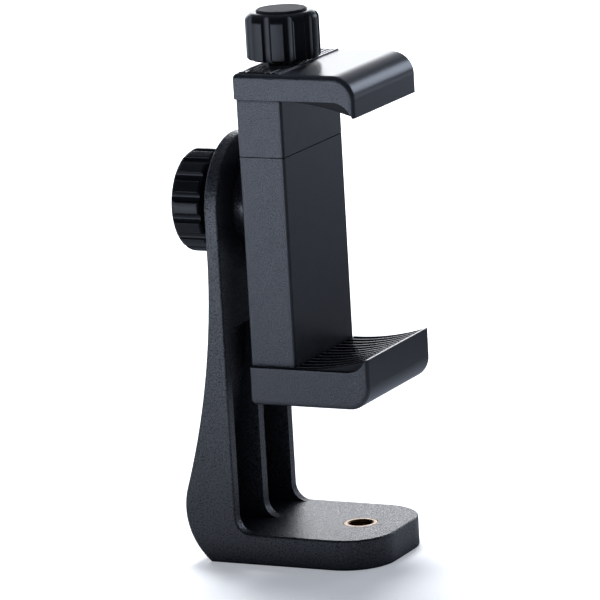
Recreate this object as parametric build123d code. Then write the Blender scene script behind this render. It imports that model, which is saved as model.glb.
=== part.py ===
from build123d import *
from math import atan2, cos, pi, radians, sin, sqrt
import os

# A plastic adapter that holds a phone on a tripod. An angled bracket stands on the tripod,
# and a clamp with two jaws turns on the upright's pivot. A knob on top of the clamp turns
# a screw that lifts the upper jaw.
# Millimetres. The origin is on the tripod thread's axis at the foot's underside, +X runs
# forward to the tips of the jaws, +Z runs up, and Y runs across the phone.

# Tripod thread and the brass insert around it
tripod_bore_radius = 2.6
tripod_insert_radius = 4.0
insert_mouth = 0.45
insert_groove_depth = 0.4
insert_groove_width = 1.4
press_gap = 0.02

# Bracket: the foot
bracket_width = 32.8
foot_thickness = 7.1
foot_reach = 11.05
foot_corner_radius = 11.0

# Bracket: the upright, which deepens towards its heel
upright_setback = 24.0
plate_thickness = 3.25
pivot_height = 81.75
flat_below_pivot = 9.1
back_sweep_radius = 182.0
heel_radius = 16.0
heel_height = 12.4
foot_root_radius = 4.0
bracket_side_wall = 2.65
bracket_rib = 2.6
bracket_back_wall = 2.5
pocket_below_pivot = 27.15
bracket_edge_radius = 0.5

# Pivot: a quarter-inch bolt through the plate into the clamp's boss
bolt_radius = 3.175
running_fit = 0.05
end_play = 0.05
friction_washer_radius = 9.0
friction_washer_thickness = 0.8
boss_radius = 9.5
boss_root_radius = 0.8
pivot_insert_radius = 4.75
pivot_insert_length = 5.8
bolt_engagement = 5.5

# Rotation knob behind the plate
rotation_knob_radius = 11.9
rotation_knob_length = 7.6
rotation_hub_radius = 7.0
rotation_hub_length = 2.85
rotation_washer_radius = 6.6
rotation_washer_thickness = 0.8
rotation_groove_count = 15
rotation_first_groove = -76.0
rotation_cap_radius = 7.6
bolt_head_flats = 11.1
bolt_head_height = 4.0
bolt_tip_chamfer = 0.6

# Both knobs
groove_depth = 0.85
groove_width = 2.3
groove_edge_radius = 0.3
knob_shoulder_radius = 2.0
knob_foot_chamfer = 0.4
cap_seat_depth = 0.9
cap_proud = 0.55
cap_edge_chamfer = 0.25

# Clamp: the body that carries the lower jaw
clamp_gap = 6.0
body_depth = 11.35
body_width = 31.3
body_height = 57.2
clamp_drop = 43.6
clamp_wall = 1.75
body_side_wall = 3.8
cover_rim = 1.0
body_top_bridge = 2.9
parting_gap = 0.2
body_edge_radius = 0.9
body_back_edge_radius = 0.95
cover_gap = 0.05

# Jaws
jaw_width = 34.0
jaw_reach = 18.6
jaw_opening = 61.9
lower_jaw_thickness = 8.7
lower_lip_rise = 3.15
upper_jaw_thickness = 5.85
upper_lip_drop = 3.6
jaw_corner_radius = 5.2
lip_inner_radius = 5.0
lip_tip = 0.5
jaw_heel_radius = 1.2
jaw_edge_radius = 1.15

# Ribbed rubber pads in the jaws
pad_surface_radius = 58.0
pad_heel_thickness = 0.4
pad_side_inset = 1.0
pad_foot_depth = 1.2
pad_foot_inset = 1.2
pad_ridges = 12
pad_ridge_height = 0.45
pad_ridge_width = 0.9
pad_gap = 0.05

# Dotted grip strip let into the top of the upper jaw
strip_inset = 1.2
strip_sunk = 0.6
strip_proud = 0.3
strip_gap = 0.05
strip_hole_margin = 0.2

# Width knob and its lead screw
width_knob_radius = 8.45
width_knob_length = 10.7
width_hub_radius = 5.2
width_hub_length = 0.3
width_groove_count = 10
width_first_groove = -54.3
width_cap_radius = 5.8
screw_radius = 2.5
screw_behind_middle = 0.5
screw_head_flats = 8.0
screw_head_height = 3.5
thrust_washer_radius = 3.5
thrust_washer_thickness = 0.65
bush_wall = 1.0
clip_thickness = 0.8
clip_width = 0.8
clip_groove_depth = 0.3
end_stop_radius = 3.2
end_stop_thickness = 1.5
screw_tail = 0.5
screw_tail_chamfer = 0.4

# Guide legs, the nut and its housing
jaw_travel = 27.0
leg_engagement = 13.0
leg_gap = 0.1
leg_root = 1.0
nut_half_width = 5.0
nut_height = 6.0
nut_shelf = 1.5
housing_margin = 0.3
shelf_clearance = 0.4
nut_depth_below_top = 4.9
travel_margin = 0.3
screw_pocket_height = 9.0

# Screws that hold the clamp's back cover
cover_screw_radius = 0.85
cover_screw_head_radius = 1.5
cover_screw_head_height = 0.9
cover_screw_length = 6.0
cover_screw_from_side = 2.7
cover_screw_from_end = 3.0
cover_screw_hole_past_tip = 0.5

# Cuts run past the faces they break through by cut_past, and faces closer than near_enough match
cut_past = 1.0
near_enough = 0.01

# Places worked out from the sizes above
plate_front = -upright_setback
plate_rear = plate_front - plate_thickness
back_sweep_start = pivot_height - flat_below_pivot
pocket_top = pivot_height - pocket_below_pivot
body_back = plate_front + clamp_gap
phone_face = body_back + body_depth
lip_face = phone_face + jaw_reach
screw_x = body_back + body_depth / 2 - screw_behind_middle
jaw_floor = pivot_height - clamp_drop
lower_ledge = jaw_floor + lower_jaw_thickness
parting = jaw_floor + body_height
upper_ledge = lower_ledge + jaw_opening
jaw_top = upper_ledge + upper_jaw_thickness
body_half = body_width / 2
jaw_half = jaw_width / 2
cavity_half = body_half - body_side_wall
cavity_back = body_back + clamp_wall
cavity_front = phone_face - clamp_wall
cavity_floor = lower_ledge + clamp_wall
body_top = parting - parting_gap / 2
block_foot = parting + parting_gap / 2
cover_half = body_half - cover_rim
cover_foot = cavity_floor
cover_head = body_top - body_top_bridge
boss_face = plate_front + friction_washer_thickness + end_play
knob_hub_face = plate_rear - end_play - rotation_washer_thickness
nut_top = body_top - nut_depth_below_top
nut_foot = nut_top - nut_height
shelf_foot = nut_foot - nut_shelf
end_stop_top = shelf_foot - jaw_travel - travel_margin
pocket_roof = block_foot + screw_pocket_height
thrust_face = jaw_top + end_play
width_hub_face = thrust_face + thrust_washer_thickness
housing_half = nut_half_width + housing_margin
leg_foot = body_top - jaw_travel - leg_engagement
bush_radius = screw_radius + running_fit + bush_wall
strip_hole_radius = thrust_washer_radius + strip_hole_margin
clip_groove_radius = screw_radius - clip_groove_depth
clip_radius = screw_radius + clip_width
clip_foot = pocket_roof - end_play - clip_thickness
far = 4 * (pivot_height + jaw_reach)


def block(x0, x1, y0, y1, z0, z1):
    """A box given by its two corners."""
    centre = Pos((x0 + x1) / 2, (y0 + y1) / 2, (z0 + z1) / 2)
    return centre * Box(x1 - x0, y1 - y0, z1 - z0)


def across(x0, x1, half, z0, z1):
    """A box that is symmetric about the middle plane."""
    return block(x0, x1, -half, half, z0, z1)


def upright_rod(radius, z0, z1, x=0, y=0):
    """A cylinder along Z."""
    return Pos(x, y, (z0 + z1) / 2) * Cylinder(radius, z1 - z0)


def level_rod(radius, x0, x1, y=0, z=pivot_height):
    """A cylinder along X, on the pivot unless it is told otherwise."""
    return Pos((x0 + x1) / 2, y, z) * Rot(0, 90, 0) * Cylinder(radius, x1 - x0)


def side_prism(outline, half):
    """An outline drawn in X and Z, extruded to both sides of the middle plane."""
    face = Plane.XZ * make_face(outline)
    return extrude(face, half, both=True)


def sweep_centres():
    """X of the centres of the back's long sweep and of the heel, and the slope between them."""
    sweep_x = plate_rear - back_sweep_radius
    fall = back_sweep_start - heel_height
    run = sqrt((back_sweep_radius + heel_radius) ** 2 - fall**2)
    heel_x = sweep_x + run
    return sweep_x, heel_x, fall / run


def back_outline(inset, z_top, z_foot, x_front):
    """The closed side outline between the back's curve, set in by inset, and x_front."""
    sweep_x, heel_x, slope = sweep_centres()
    sweep_radius = back_sweep_radius + inset
    turn_radius = heel_radius - inset
    steep = 1 / sqrt(1 + slope**2)
    meet_x = heel_x - turn_radius * steep
    meet_z = heel_height + turn_radius * steep * slope
    start_z = min(z_top, back_sweep_start)
    start_x = sweep_x + sqrt(sweep_radius**2 - (back_sweep_start - start_z) ** 2)
    middle_z = (start_z + meet_z) / 2
    middle_x = sweep_x + sqrt(sweep_radius**2 - (back_sweep_start - middle_z) ** 2)
    foot_x = heel_x - sqrt(turn_radius**2 - (heel_height - z_foot) ** 2)
    lines = [
        ThreePointArc((start_x, start_z), (middle_x, middle_z), (meet_x, meet_z)),
        ThreePointArc((meet_x, meet_z), (heel_x - turn_radius, heel_height), (foot_x, z_foot)),
        Line((foot_x, z_foot), (x_front, z_foot)),
        Line((x_front, z_foot), (x_front, z_top)),
        Line((x_front, z_top), (start_x, z_top)),
    ]
    if z_top > start_z:
        lines.append(Line((start_x, z_top), (start_x, start_z)))
    return lines


def bracket_blank():
    """Upright and foot as one solid, before its pockets and holes."""
    head_radius = bracket_width / 2
    upright = side_prism(back_outline(0, pivot_height + head_radius, 0, plate_front), far)
    foot = across(plate_front, foot_reach, far, 0, foot_thickness)
    root = across(plate_front, plate_front + foot_root_radius, far, foot_thickness,
                  foot_thickness + foot_root_radius)
    root -= Pos(plate_front + foot_root_radius, 0, foot_thickness + foot_root_radius) * (
        Rot(90, 0, 0) * Cylinder(foot_root_radius, 3 * far))
    solid = upright + foot + root
    front_view = Plane.YZ * (
        Pos(0, pivot_height / 2) * Rectangle(bracket_width, pivot_height)
        + Pos(0, pivot_height) * Circle(head_radius))
    solid &= extrude(front_view, far, both=True)
    length = far + foot_reach
    plan = Pos(foot_reach - length / 2, 0) * RectangleRounded(length, bracket_width, foot_corner_radius)
    solid &= extrude(plan, far)
    return solid


def bracket_pocket(y0, y1):
    """One pocket of the upright, open to the front and down to the foot."""
    profile = back_outline(bracket_back_wall, pocket_top, foot_thickness, plate_front)
    pocket = side_prism(profile, far)
    pocket += across(plate_front, plate_front + foot_root_radius, far, foot_thickness, pocket_top)
    return pocket & block(-far, far, y0, y1, 0, far)


def bracket():
    """One moulding: foot, heel and upright, with two pockets between its walls and its rib."""
    solid = bracket_blank()
    solid = fillet(solid.edges(), bracket_edge_radius)
    inner = bracket_width / 2 - bracket_side_wall
    for side in (-1, 1):
        near, wide = sorted((side * bracket_rib / 2, side * inner))
        solid -= bracket_pocket(near, wide)
    solid -= upright_rod(tripod_insert_radius, -cut_past, foot_thickness + cut_past)
    solid -= level_rod(bolt_radius + running_fit, plate_rear - cut_past, plate_front + cut_past)
    return solid


def tripod_insert():
    """Brass bush with two grooves that key it into the foot, and a bore for the thread."""
    radius = tripod_insert_radius - press_gap
    solid = upright_rod(radius, 0, foot_thickness)
    for side in (-1, 1):
        middle = foot_thickness / 2 + side * insert_groove_width
        ends = middle - insert_groove_width / 2, middle + insert_groove_width / 2
        solid -= upright_rod(far, *ends) - upright_rod(radius - insert_groove_depth, *ends)
    solid -= upright_rod(tripod_bore_radius, -cut_past, foot_thickness + cut_past)
    mouth = Cone(tripod_bore_radius, tripod_bore_radius + insert_mouth, insert_mouth)
    return solid - Pos(0, 0, foot_thickness - insert_mouth / 2) * mouth


def washer_on_pivot(inner, outer, x0, x1):
    return level_rod(outer, x0, x1) - level_rod(inner, x0 - cut_past, x1 + cut_past)


def hexagon(flats):
    return RegularPolygon(flats / 2, 6, major_radius=False)


def knob(radius, length, hub_radius, hub_length, grooves, first_groove, cap_radius,
         shank_radius, head_flats, head_height):
    """A fluted knob on +Z. Its hub stands on Z = 0 and the grip ends at hub_length + length."""
    half_width = groove_width / 2
    cutter = (half_width**2 + groove_depth**2) / (2 * groove_depth)
    ring = radius - groove_depth + cutter
    flutes = [Pos(ring * cos(angle), ring * sin(angle)) * Circle(cutter)
              for angle in [radians(first_groove) + 2 * pi * n / grooves for n in range(grooves)]]
    outline = Circle(radius) - flutes
    outline = fillet(outline.vertices(), groove_edge_radius)
    top = hub_length + length
    fluted = Pos(0, 0, hub_length) * extrude(outline, length)
    turned = Pos(0, 0, hub_length + length / 2) * Cylinder(radius, length)
    turned = fillet(turned.edges().sort_by(Axis.Z)[-1], knob_shoulder_radius)
    turned = chamfer(turned.edges().filter_by(GeomType.CIRCLE).sort_by(Axis.Z)[0], knob_foot_chamfer)
    solid = (fluted & turned) + upright_rod(hub_radius, 0, hub_length)
    seat = top - cap_seat_depth
    solid -= upright_rod(cap_radius + press_gap, seat, top + cut_past)
    socket = extrude(hexagon(head_flats + 2 * press_gap), head_height + cut_past)
    solid -= Pos(0, 0, seat - head_height) * socket
    return solid - upright_rod(shank_radius + press_gap, -cut_past, seat)


def knob_cap(radius):
    """The disc that closes a knob, with its seat on Z = 0."""
    height = cap_seat_depth + cap_proud
    solid = Pos(0, 0, height / 2) * Cylinder(radius, height)
    return chamfer(solid.edges().filter_by(GeomType.CIRCLE).sort_by(Axis.Z)[-1], cap_edge_chamfer)


def on_pivot(solid, x):
    """Stands a solid that was drawn on +Z on the pivot, pointing to the rear from x."""
    return Pos(x, 0, pivot_height) * Rot(0, -90, 0) * solid


def on_screw(solid, z):
    """Stands a solid that was drawn on +Z on the lead screw's axis at height z."""
    return Pos(screw_x, 0, z) * solid


def rotation_knob_grip():
    solid = knob(rotation_knob_radius, rotation_knob_length, rotation_hub_radius, rotation_hub_length,
                 rotation_groove_count, rotation_first_groove, rotation_cap_radius, bolt_radius,
                 bolt_head_flats, bolt_head_height)
    return on_pivot(solid, knob_hub_face)


def rotation_bolt():
    """Hex bolt whose head sits in the knob and whose tip ends in the boss's insert."""
    seat = rotation_hub_length + rotation_knob_length - cap_seat_depth
    reach = boss_face + bolt_engagement - knob_hub_face
    shank = upright_rod(bolt_radius, -reach, seat - bolt_head_height)
    shank = chamfer(shank.edges().filter_by(GeomType.CIRCLE).sort_by(Axis.Z)[0], bolt_tip_chamfer)
    head = Pos(0, 0, seat - bolt_head_height) * extrude(hexagon(bolt_head_flats), bolt_head_height)
    return on_pivot(shank + head, knob_hub_face)


def rotation_knob_cap():
    seat = rotation_hub_length + rotation_knob_length - cap_seat_depth
    return on_pivot(knob_cap(rotation_cap_radius), knob_hub_face - seat)


def rotation_knob_washer():
    return washer_on_pivot(bolt_radius + press_gap, rotation_washer_radius, knob_hub_face,
                           plate_rear - end_play)


def pivot_friction_washer():
    return washer_on_pivot(bolt_radius + running_fit, friction_washer_radius, plate_front,
                           plate_front + friction_washer_thickness)


def pivot_insert():
    return washer_on_pivot(bolt_radius + running_fit, pivot_insert_radius - press_gap, boss_face,
                           boss_face + pivot_insert_length)


def cover_screw_places():
    """Y and Z of the four screws in the back cover."""
    y = body_half - cover_screw_from_side
    heights = (cover_foot + cover_screw_from_end, cover_head - cover_screw_from_end)
    return [(side * y, z) for side in (-1, 1) for z in heights]


def clamp_back_cover():
    """Plate let into the clamp's back, one piece with the boss that the pivot bolt enters."""
    solid = across(body_back, cavity_back, cover_half - cover_gap, cover_foot + cover_gap,
                   cover_head - cover_gap)
    boss = level_rod(boss_radius, boss_face, body_back + clamp_wall / 2)
    solid += boss
    root = solid.edges().filter_by(GeomType.CIRCLE).filter_by_position(
        Axis.X, body_back - near_enough, body_back + near_enough)
    solid = fillet(root, boss_root_radius)
    solid -= level_rod(pivot_insert_radius, boss_face - cut_past, boss_face + pivot_insert_length)
    head_seat = body_back + cover_screw_head_height
    for y, z in cover_screw_places():
        solid -= level_rod(cover_screw_radius + running_fit, body_back, cavity_back + cut_past, y, z)
        solid -= level_rod(cover_screw_head_radius + running_fit, body_back - cut_past, head_seat, y, z)
    return solid


def cover_screw(y, z):
    """One pan head screw, sunk flush into the cover."""
    head = level_rod(cover_screw_head_radius, body_back, body_back + cover_screw_head_height, y, z)
    return head + level_rod(cover_screw_radius, body_back, body_back + cover_screw_length, y, z)


def back_cover_screws():
    return Compound([cover_screw(y, z) for y, z in cover_screw_places()])


def jaw_outline(thickness, lip):
    """Side outline of a jaw whose pad lies on Z = 0 and whose lip rises in front."""
    foot = -thickness
    corner_x = lip_face - jaw_corner_radius
    corner_z = foot + jaw_corner_radius
    diagonal = jaw_corner_radius * sqrt(0.5)
    bend_x = lip_bend_x(lip)
    middle = lip_inner_radius * sqrt(0.5)
    return [
        Line((body_back, 0), (body_back, foot)),
        Line((body_back, foot), (corner_x, foot)),
        ThreePointArc((corner_x, foot), (corner_x + diagonal, corner_z - diagonal), (lip_face, corner_z)),
        Line((lip_face, corner_z), (lip_face, lip)),
        Line((lip_face, lip), (lip_face - lip_tip, lip)),
        ThreePointArc((lip_face - lip_tip, lip), (bend_x + middle, lip_inner_radius - middle), (bend_x, 0)),
        Line((bend_x, 0), (body_back, 0)),
    ]


def lip_bend_x(lip):
    """Where the jaw's flat floor starts to bend up into the lip."""
    return lip_face - lip_tip - sqrt(lip_inner_radius**2 - (lip_inner_radius - lip) ** 2)


def jaw(thickness, lip):
    """A jaw with rounded outer edges and the recess that its pad is keyed into."""
    solid = side_prism(jaw_outline(thickness, lip), jaw_half)
    heel = solid.edges().filter_by(Axis.Y).sort_by(lambda e: e.center().X + e.center().Z)[0]
    solid = fillet(heel, jaw_heel_radius)
    rims = [e for e in solid.edges() if is_outer_rim(e)]
    solid = fillet(rims, jaw_edge_radius)
    return solid - pad_recess(lip)


def is_outer_rim(edge):
    """True for the edges round a jaw's side face, apart from those beside its pad."""
    centre = edge.center()
    on_side = abs(abs(centre.Y) - jaw_half) < near_enough
    return on_side and (centre.Z < -near_enough or abs(centre.X - lip_face) < near_enough)


def pad_outline(lip, drop):
    """Side outline of a pad: a long shallow hollow, lowered by drop, over a foot let into the jaw."""
    bend_x = lip_bend_x(lip)
    inner = lip_inner_radius - pad_gap
    start_x = phone_face + pad_gap
    start_z = pad_heel_thickness - drop
    end_z = lip - pad_gap - drop
    end_x = bend_x + sqrt(inner**2 - (lip_inner_radius - end_z) ** 2)
    chord = Vector(end_x - start_x, end_z - start_z)
    sag = pad_surface_radius - sqrt(pad_surface_radius**2 - (chord.length / 2) ** 2)
    middle = Vector(start_x, start_z) + chord / 2 + Vector(chord.Y, -chord.X).normalized() * sag
    half_turn = atan2(end_x - bend_x, lip_inner_radius - end_z) / 2
    bend = (bend_x + inner * sin(half_turn), lip_inner_radius - inner * cos(half_turn))
    front = bend_x - pad_foot_inset
    corners = [(bend_x, pad_gap), (front, pad_gap), (front, -pad_foot_depth), (start_x, -pad_foot_depth),
               (start_x, start_z)]
    return [
        ThreePointArc((start_x, start_z), (middle.X, middle.Y), (end_x, end_z)),
        ThreePointArc((end_x, end_z), bend, corners[0]),
        Polyline(*corners),
    ]


def pad_recess(lip):
    """The room in a jaw's floor for the foot of its pad."""
    front = lip_bend_x(lip) - pad_foot_inset + pad_gap
    half = jaw_half - pad_side_inset + pad_gap
    return across(phone_face, front, half, -pad_foot_depth - pad_gap, cut_past)


def pad(lip):
    """A rubber pad with ridges that run from the phone face out to the lip."""
    half = jaw_half - pad_side_inset
    first = pad_ridge_width / 2 - half
    pitch = -2 * first / (pad_ridges - 1)
    solid = side_prism(pad_outline(lip, pad_ridge_height), half)
    ridge = side_prism(pad_outline(lip, 0), pad_ridge_width / 2)
    return solid + [Pos(0, first + n * pitch, 0) * ridge for n in range(pad_ridges)]


def as_lower(solid):
    return Pos(0, 0, lower_ledge) * solid


def as_upper(solid):
    return Pos(0, 0, upper_ledge) * mirror(solid, Plane.XY)


def column(z0, z1):
    """The clamp's upright box with its long edges rounded."""
    solid = across(body_back, phone_face, body_half, z0, z1)
    long_edges = solid.edges().filter_by(Axis.Z).sort_by(Axis.X)
    solid = fillet(long_edges[2:], body_edge_radius)
    return fillet(solid.edges().filter_by(Axis.Z).sort_by(Axis.X)[:2], body_back_edge_radius)


def clamp_body():
    """Hollow body, one piece with the lower jaw, open at the top and at the back."""
    solid = as_lower(jaw(lower_jaw_thickness, lower_lip_rise))
    solid += column(lower_ledge - lower_jaw_thickness / 2, body_top)
    solid -= across(cavity_back, cavity_front, cavity_half, cavity_floor, body_top + cut_past)
    solid -= across(body_back - cut_past, cavity_back, cover_half, cover_foot, cover_head)
    for z0, z1 in ((shelf_foot, nut_foot), (nut_top, nut_top + nut_shelf)):
        solid += across(cavity_back + cover_gap, cavity_front, housing_half, z0, z1)
    solid -= upright_rod(screw_radius + shelf_clearance, shelf_foot - cut_past,
                         nut_top + nut_shelf + cut_past, screw_x)
    hole_end = body_back + cover_screw_length + cover_screw_hole_past_tip
    for y, z in cover_screw_places():
        solid -= level_rod(cover_screw_radius + press_gap, cavity_back - cut_past, hole_end, y, z)
    return solid


def guide_leg(side):
    """One of the two legs that slide in the body on either side of the nut's housing."""
    inner = side * (housing_half + leg_gap)
    outer = side * (cavity_half - leg_gap)
    y0, y1 = sorted((inner, outer))
    return block(cavity_back + leg_gap, cavity_front - leg_gap, y0, y1, leg_foot, block_foot + leg_root)


def grip_strip_place(gap):
    """The strip's outline as a solid, or with a gap the recess that it is let into."""
    solid = across(body_back + strip_inset - gap, phone_face + gap, jaw_half - strip_inset + gap,
                   jaw_top - strip_sunk - gap, jaw_top + strip_proud)
    return solid - upright_rod(strip_hole_radius - gap, 0, far, screw_x)


def upper_jaw():
    """Upper jaw, one piece with the block under it and the two guide legs."""
    solid = as_upper(jaw(upper_jaw_thickness, upper_lip_drop))
    solid += column(block_foot, upper_ledge + upper_jaw_thickness / 2)
    solid += [guide_leg(side) for side in (-1, 1)]
    solid -= across(cavity_back, cavity_front, housing_half + leg_gap, block_foot - cut_past, pocket_roof)
    solid -= upright_rod(bush_radius + press_gap, pocket_roof - cut_past, jaw_top + cut_past, screw_x)
    return solid - grip_strip_place(strip_gap)


def lower_jaw_pad():
    return as_lower(pad(lower_lip_rise))


def upper_jaw_pad():
    return as_upper(pad(upper_lip_drop))


def top_grip_strip():
    return grip_strip_place(0)


def ring_on_screw(inner, outer, z0, z1):
    return upright_rod(outer, z0, z1, screw_x) - upright_rod(inner, z0 - cut_past, z1 + cut_past, screw_x)


def drive_nut():
    """Brass block with the thread for the lead screw, held between the body's two shelves."""
    solid = across(cavity_back + cover_gap, cavity_front - cover_gap, nut_half_width,
                   nut_foot + cover_gap, nut_top - cover_gap)
    return solid - upright_rod(screw_radius + running_fit, nut_foot - cut_past, nut_top + cut_past, screw_x)


def screw_bush():
    return ring_on_screw(screw_radius + running_fit, bush_radius, pocket_roof, jaw_top)


def screw_thrust_washer():
    return ring_on_screw(screw_radius + press_gap, thrust_washer_radius, thrust_face, width_hub_face)


def screw_retaining_clip():
    """Open spring clip in the screw's groove, under the bush."""
    clip_head = clip_foot + clip_thickness
    solid = ring_on_screw(clip_groove_radius + press_gap, clip_radius, clip_foot, clip_head)
    mouth = clip_groove_radius * sqrt(0.5)
    return solid - block(screw_x, screw_x + far, -mouth, mouth, clip_foot - cut_past, clip_head + cut_past)


def screw_end_stop():
    return ring_on_screw(screw_radius + press_gap, end_stop_radius, end_stop_top - end_stop_thickness,
                         end_stop_top)


def lead_screw():
    """Long screw, its hexagon head in the knob and its tail below the end stop."""
    seat = width_hub_face + width_hub_length + width_knob_length - cap_seat_depth
    tail = end_stop_top - end_stop_thickness - screw_tail
    solid = upright_rod(screw_radius, tail, seat - screw_head_height, screw_x)
    solid = chamfer(solid.edges().filter_by(GeomType.CIRCLE).sort_by(Axis.Z)[0], screw_tail_chamfer)
    groove = clip_foot - end_play, clip_foot + clip_thickness + end_play
    solid -= ring_on_screw(clip_groove_radius, far, *groove)
    head = extrude(hexagon(screw_head_flats), screw_head_height)
    return solid + on_screw(head, seat - screw_head_height)


def width_knob_grip():
    solid = knob(width_knob_radius, width_knob_length, width_hub_radius, width_hub_length,
                 width_groove_count, width_first_groove, width_cap_radius, screw_radius,
                 screw_head_flats, screw_head_height)
    return on_screw(solid, width_hub_face)


def width_knob_cap():
    seat = width_hub_face + width_hub_length + width_knob_length - cap_seat_depth
    return on_screw(knob_cap(width_cap_radius), seat)


makers = [
    bracket,
    tripod_insert,
    pivot_friction_washer,
    rotation_knob_grip,
    rotation_knob_cap,
    rotation_bolt,
    rotation_knob_washer,
    clamp_body,
    clamp_back_cover,
    back_cover_screws,
    pivot_insert,
    lower_jaw_pad,
    drive_nut,
    upper_jaw,
    upper_jaw_pad,
    top_grip_strip,
    screw_bush,
    width_knob_grip,
    width_knob_cap,
    lead_screw,
    screw_thrust_washer,
    screw_retaining_clip,
    screw_end_stop,
]

os.makedirs("parts", exist_ok=True)
for maker in makers:
    export_step(maker(), f"parts/{maker.__name__}.step")
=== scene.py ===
# %% [markdown]
# # A tripod phone mount adapter, dressed for its picture
# An angled plastic bracket stands on the tripod, a clamp turns on it, and a fluted knob winds the
# clamp's upper jaw up and down. The CAD model already has the real shapes, so this script gives
# them their finishes and remakes only what CAD left plain: threads, rubber ribs, the dotted strip
# and small screws.
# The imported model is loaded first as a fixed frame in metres. +X runs forward to the tips of the
# jaws, +Z runs up, and the origin is under the brass thread in the foot.

# %% Load the frame
import bmesh
import bpy
from math import acos, atan2, cos, pi, radians, sin, sqrt
from mathutils import Matrix, Vector


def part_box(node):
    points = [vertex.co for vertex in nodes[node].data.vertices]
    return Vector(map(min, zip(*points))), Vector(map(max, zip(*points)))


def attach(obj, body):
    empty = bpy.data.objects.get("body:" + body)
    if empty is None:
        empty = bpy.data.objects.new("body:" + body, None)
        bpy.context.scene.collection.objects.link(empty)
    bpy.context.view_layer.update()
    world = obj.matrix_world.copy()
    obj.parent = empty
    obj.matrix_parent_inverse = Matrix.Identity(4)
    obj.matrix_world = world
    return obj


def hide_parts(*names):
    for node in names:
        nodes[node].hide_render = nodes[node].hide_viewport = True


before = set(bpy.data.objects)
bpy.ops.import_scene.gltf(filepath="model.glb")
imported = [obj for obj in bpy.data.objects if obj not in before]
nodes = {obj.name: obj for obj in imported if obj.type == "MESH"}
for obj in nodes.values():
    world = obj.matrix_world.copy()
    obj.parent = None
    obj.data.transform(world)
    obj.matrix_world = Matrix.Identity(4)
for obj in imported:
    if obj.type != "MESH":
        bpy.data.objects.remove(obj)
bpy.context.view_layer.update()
scene = bpy.context.scene
MM = 0.001

# %% [markdown]
# ## The camera
# A photograph of a long thin object is usually taken from far away with a long lens, which keeps
# its sides nearly parallel. The place, lens and small tilt below were worked out from the
# photograph's own edges, so that the drawn model lies on the photographed one.
# A camera could also be aimed with a constraint, but a matrix made of its right, up and back
# directions is plain to read and needs nothing else in the scene.

# %% Camera
turn, rise, tilt = radians(26.369), radians(12.507), radians(-3.281)
aim = Vector((-12.289, 0, 59.056)) * MM
distance, focal_length, sensor_width, farthest_seen = 1.1499, 301.18, 36, 20
back = Vector((sin(turn) * cos(rise), -cos(turn) * cos(rise), sin(rise)))
level = Vector((cos(turn), sin(turn), 0))
upright = back.cross(level)
right = level * cos(tilt) + upright * sin(tilt)
up = upright * cos(tilt) - level * sin(tilt)

lens = bpy.data.cameras.new("long_lens")
lens.sensor_width, lens.lens, lens.clip_end = sensor_width, focal_length, farthest_seen
camera = bpy.data.objects.new("camera", lens)
scene.collection.objects.link(camera)
turned = Matrix((right, up, back)).transposed().to_4x4()
camera.matrix_world = Matrix.Translation(aim + back * distance) @ turned
scene.camera = camera
scene.view_settings.view_transform = "Standard"
print("camera", [round(c, 4) for c in camera.matrix_world.translation], "lens", lens.lens, "mm")

# %% [markdown]
# ## Colours
# Colours are written as sRGB hex, as they are read from a colour chart, and Blender's shaders want
# linear light. One function turns the first into the second.

# %% Hex to linear
def linear(hex_colour):
    """Linear RGBA of an sRGB colour such as #1D1F24."""
    parts = [int(hex_colour[n:n + 2], 16) / 255 for n in (1, 3, 5)]
    return [c / 12.92 if c <= 0.04045 else ((c + 0.055) / 1.055) ** 2.4 for c in parts] + [1]


print("mid grey #808080 is", round(linear("#808080")[0], 3), "in linear light")

# %% [markdown]
# ## Nodes
# A material is a small network of nodes. One helper adds a node, sets its options and fills or
# links its sockets, so that each material below reads like a list of what it is made of.
# A Mix node has sockets for each kind of data, all with the same names, so those go by number.

# %% Add a node
number_a, number_b, mixed_number = 2, 3, 0
colour_a, colour_b, mixed_colour = 6, 7, 2


def add(tree, kind, inputs=(), **settings):
    """Adds a shader node. inputs maps a socket to a value, or to the output that feeds it."""
    node = tree.nodes.new("ShaderNode" + kind)
    for name, value in settings.items():
        setattr(node, name, value)
    for name, value in dict(inputs).items():
        if isinstance(value, bpy.types.NodeSocket):
            tree.links.new(value, node.inputs[name])
        else:
            node.inputs[name].default_value = value
    return node


def blank(material):
    """Empties a material or a world and returns its node tree."""
    material.use_nodes = True
    material.node_tree.nodes.clear()
    return material.node_tree


print("kinds of shader node here:", len([t for t in dir(bpy.types) if t.startswith("ShaderNode")]))

# %% [markdown]
# ## The studio's paper and room
# The adapter stands on white paper, with a bright backdrop behind it and a dark room before it.
# That is why its tops look pale, its front edges look black and its shadow falls forward.
# The paper is a real surface that takes the shadow, and the camera sees a little light added to
# it, so that it is white where nothing shades it.
# Glossy and see-through rays see the studio too, or metal and gloss would look grey: pale paper
# behind, a dark room, and in front on the left a reflector lying on the paper, which grows
# stronger away from the object and so fades down its sides. Only gloss sees that reflector, so
# the plastic's own colour is lit at a plain level and stays black.
# A big white sphere would be simpler, but it would wash out the black plastic from all sides.

# %% Floor
floor_half = 2.5
corners = [(x * floor_half, y * floor_half, 0) for x, y in ((-1, -1), (1, -1), (1, 1), (-1, 1))]
floor_mesh = bpy.data.meshes.new("paper_floor")
floor_mesh.from_pydata(corners, [], [(0, 1, 2, 3)])
paper_floor = bpy.data.objects.new("paper_floor", floor_mesh)
scene.collection.objects.link(paper_floor)
paper = bpy.data.materials.new("white_background_paper")
floor_mesh.materials.append(paper)
print("paper", 2 * floor_half, "m square")

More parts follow.
